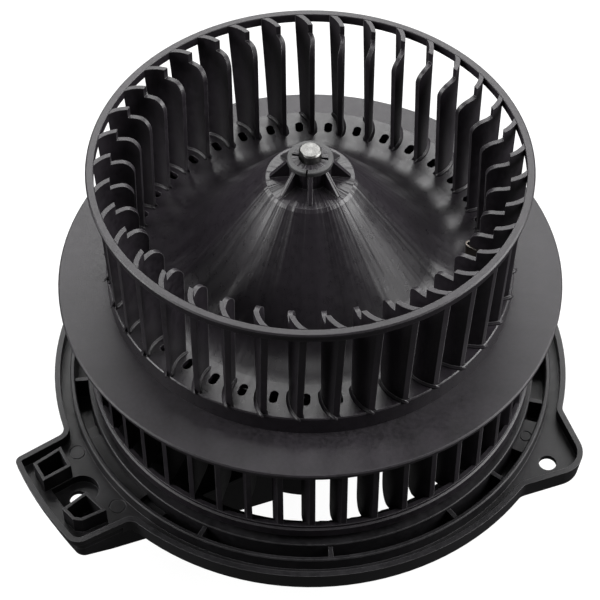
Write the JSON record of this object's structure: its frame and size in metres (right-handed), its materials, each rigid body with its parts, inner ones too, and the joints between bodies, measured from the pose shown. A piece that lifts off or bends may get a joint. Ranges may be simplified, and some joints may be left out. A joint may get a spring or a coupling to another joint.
{
  "type": "blower motor wheel",
  "caption": "Two-tier centrifugal blower wheel on its electric motor, carried in a round moulded mounting flange with screw ears and cooling-air sockets.",
  "frame": {"origin": "on the wheel's axis, in the plane of the flange's raised rim", "axes": "+Z along the axis from the flange towards the wheel's open end; -Y towards the side between the air-socket ear and the right ear"},
  "size_m": [0.2121, 0.2108, 0.1544],
  "materials": {
    "wheel_plastic": "moulded glass-filled nylon, satin",
    "flange_plastic": "moulded filled polypropylene, satin",
    "shaft_steel": "ground and polished",
    "zinc_steel": "zinc plated, deep drawn",
    "spring_steel": "tempered, oiled",
    "screw_steel": "zinc plated",
    "bearing_bronze": "sintered, oil filled",
    "brass": "stamped sheet",
    "copper": "drawn copper",
    "enamelled_copper": "enamelled winding wire",
    "ferrite": "sintered, ground",
    "lamination_steel": "stamped laminations",
    "card_fibre": "laminated board",
    "slot_fibre": "pressed fibre",
    "brush_carbon": "pressed carbon",
    "thrust_nylon": "natural nylon",
    "isolator_rubber": "moulded rubber",
    "clamp_plastic": "moulded, satin"
  },
  "bodies": {
    "housing": {"mounting_flange": "flange_plastic", "inlet_frame": "flange_plastic", "motor_cup": "flange_plastic", "duct_cover": "flange_plastic", "duct_screws": "screw_steel", "motor_screws": "screw_steel", "isolator_washers": "isolator_rubber", "isolator_ring": "isolator_rubber", "motor_can": "zinc_steel", "end_cap": "flange_plastic", "upper_bearing": "bearing_bronze", "lower_bearing": "bearing_bronze", "upper_bearing_retainer": "spring_steel", "lower_bearing_retainer": "spring_steel", "magnet_right": "ferrite", "magnet_left": "ferrite", "magnet_springs": "spring_steel", "brush_card": "card_fibre", "brush_holders": "brass", "brush_rear": "brush_carbon", "brush_front": "brush_carbon", "brush_springs": "spring_steel", "suppression_chokes": "enamelled_copper", "connector_shell": "flange_plastic", "terminal_blades": "brass"},
    "rotor": {"motor_shaft": "shaft_steel", "armature_core": "lamination_steel", "slot_insulators": "slot_fibre", "armature_windings": "enamelled_copper", "commutator_bars": "copper", "commutator_hub": "card_fibre", "armature_spacer": "thrust_nylon", "thrust_washers": "thrust_nylon", "wheel_hub": "wheel_plastic", "upper_blades": "wheel_plastic", "upper_ring": "wheel_plastic", "wheel_shelf": "wheel_plastic", "lower_blades": "wheel_plastic", "lower_ring": "wheel_plastic", "collar_clamp": "clamp_plastic", "balance_clip": "spring_steel"}
  },
  "joints": [
    {"name": "wheel_spin", "type": "hinge", "parent": "housing", "child": "rotor", "pos_m": [0, 0, 0], "axis": [0, 0, 1], "continuous": true}
  ]
}
